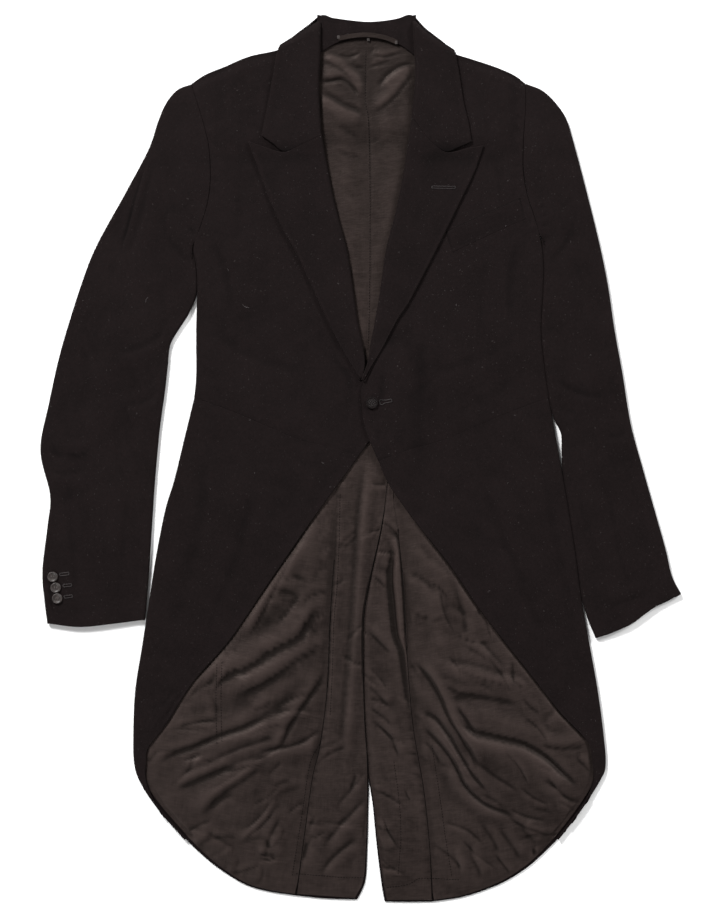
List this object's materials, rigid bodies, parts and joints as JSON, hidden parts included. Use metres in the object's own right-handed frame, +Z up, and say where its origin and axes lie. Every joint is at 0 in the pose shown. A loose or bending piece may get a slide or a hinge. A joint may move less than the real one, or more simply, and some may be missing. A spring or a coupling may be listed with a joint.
{
  "type": "tailcoat",
  "caption": "Black wool tailcoat with peak lapels and a cutaway front, buttoned at the waist and laid flat on its back, its satin lined tails showing.",
  "frame": {"origin": "middle of the coat's outline in plan, on the surface it lies on", "axes": "+X to the wearer's left, +Y from the tails to the collar, +Z up from the surface the coat lies on, out of its front"},
  "size_m": [0.7375, 1.0208, 0.0138],
  "materials": {
    "wool": "matt black wool with a fine twill weave",
    "satin": "brown-black satin lining with a soft sheen",
    "horn": "dark grey-brown button"
  },
  "bodies": {
    "root": {"back_right": "wool", "back_left": "wool", "side_body_right": "wool", "side_body_left": "wool", "forepart_right": "wool", "forepart_left": "wool", "skirt_right": "wool", "skirt_left": "wool", "lapel_right": "wool", "lapel_left": "wool", "collar_right": "wool", "collar_left": "wool", "collar_back": "wool", "collar_stand": "wool", "top_sleeve_right": "wool", "top_sleeve_left": "wool", "under_sleeve_right": "wool", "under_sleeve_left": "wool", "breast_welt": "wool", "front_button": "wool", "back_lining_right": "satin", "back_lining_left": "satin", "skirt_lining_right": "satin", "skirt_lining_left": "satin", "hanger_loop": "satin", "cuff_button_1": "horn", "cuff_button_2": "horn", "cuff_button_3": "horn"}
  },
  "joints": []
}
